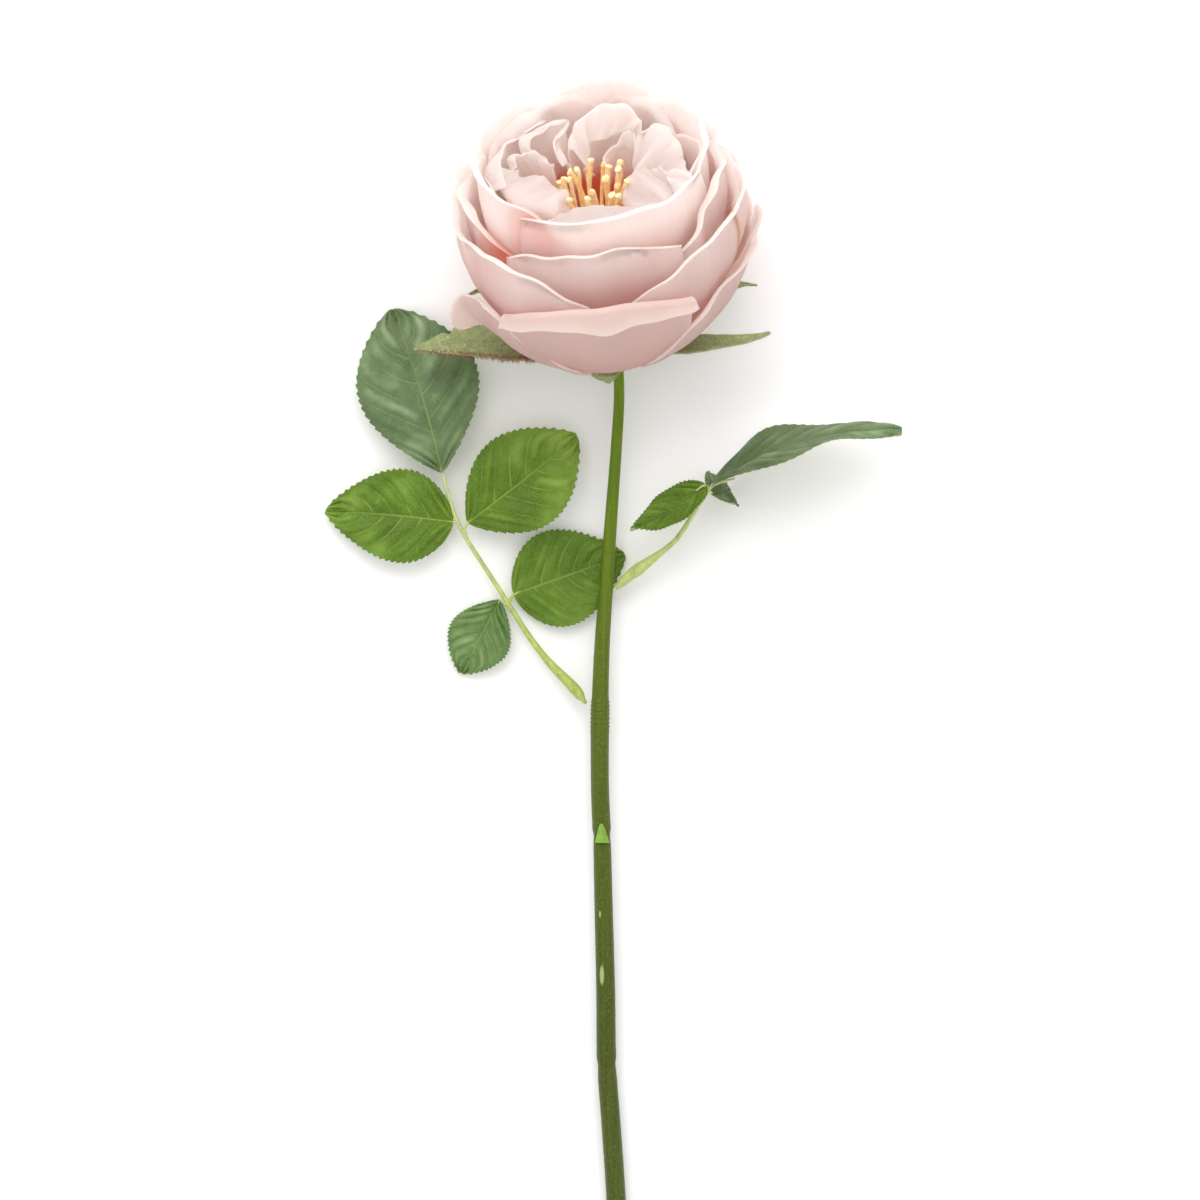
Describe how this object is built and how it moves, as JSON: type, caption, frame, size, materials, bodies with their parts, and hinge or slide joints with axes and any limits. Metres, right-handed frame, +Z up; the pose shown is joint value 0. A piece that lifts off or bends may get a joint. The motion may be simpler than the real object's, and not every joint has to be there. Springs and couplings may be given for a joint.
{
  "type": "cut rose",
  "caption": "Cut garden rose with a full cupped pale pink flower, sepals, stem and two leaves, lying on a flat surface.",
  "frame": {"origin": "centre of the lying rose's outline seen from above, on the surface it lies on", "axes": "+Y along the stem, towards the flower; +Z up, the way the flower's face is raised; +X to the right seen from above with the flower away"},
  "size_m": [0.1794, 0.3992, 0.0927],
  "materials": {
    "outer_petal": "soft matt petal, pale pink with a cream rim",
    "inner_petal": "soft matt petal, pink with a coral foot",
    "sepal": "matt downy grey-green",
    "stamen": "matt warm yellow",
    "stem": "satin olive green",
    "leaf_stalk": "satin pale green",
    "leaf": "veined semi-matt leaf green",
    "dark_leaf": "veined semi-matt grey-green"
  },
  "bodies": {
    "root": {"guard_petal_1": "outer_petal", "guard_petal_2": "outer_petal", "guard_petal_3": "outer_petal", "guard_petal_4": "outer_petal", "guard_petal_5": "outer_petal", "outer_petal_1": "outer_petal", "outer_petal_2": "outer_petal", "outer_petal_3": "outer_petal", "outer_petal_4": "outer_petal", "outer_petal_5": "outer_petal", "cup_petal_1": "outer_petal", "cup_petal_2": "outer_petal", "cup_petal_3": "outer_petal", "cup_petal_4": "outer_petal", "cup_petal_5": "outer_petal", "rim_petal_1": "outer_petal", "rim_petal_2": "outer_petal", "rim_petal_3": "outer_petal", "rim_petal_4": "outer_petal", "rim_petal_5": "outer_petal", "inner_petal_1": "inner_petal", "inner_petal_2": "inner_petal", "inner_petal_3": "inner_petal", "inner_petal_4": "inner_petal", "inner_petal_5": "inner_petal", "inner_petal_6": "inner_petal", "heart_petal_1": "inner_petal", "heart_petal_2": "inner_petal", "heart_petal_3": "inner_petal", "heart_petal_4": "inner_petal", "heart_petal_5": "inner_petal", "heart_petal_6": "inner_petal", "centre_petal_1": "inner_petal", "centre_petal_2": "inner_petal", "centre_petal_3": "inner_petal", "centre_petal_4": "inner_petal", "centre_petal_5": "inner_petal", "sepal_1": "sepal", "sepal_2": "sepal", "sepal_3": "sepal", "sepal_4": "sepal", "sepal_5": "sepal", "hip": "sepal", "stamens": "stamen", "pistils": "stamen", "stem": "stem", "bud_scale": "leaf_stalk", "lower_leaf_stalk": "leaf_stalk", "upper_leaf_stalk": "leaf_stalk", "lower_leaflet_left": "leaf", "lower_leaflet_right": "leaf", "lower_leaflet_under": "leaf", "lower_leaflet_small": "leaf", "lower_leaflet_tip": "dark_leaf", "upper_leaflet_tip": "dark_leaf", "upper_leaflet_side": "dark_leaf", "upper_leaflet_low": "dark_leaf"}
  },
  "joints": []
}
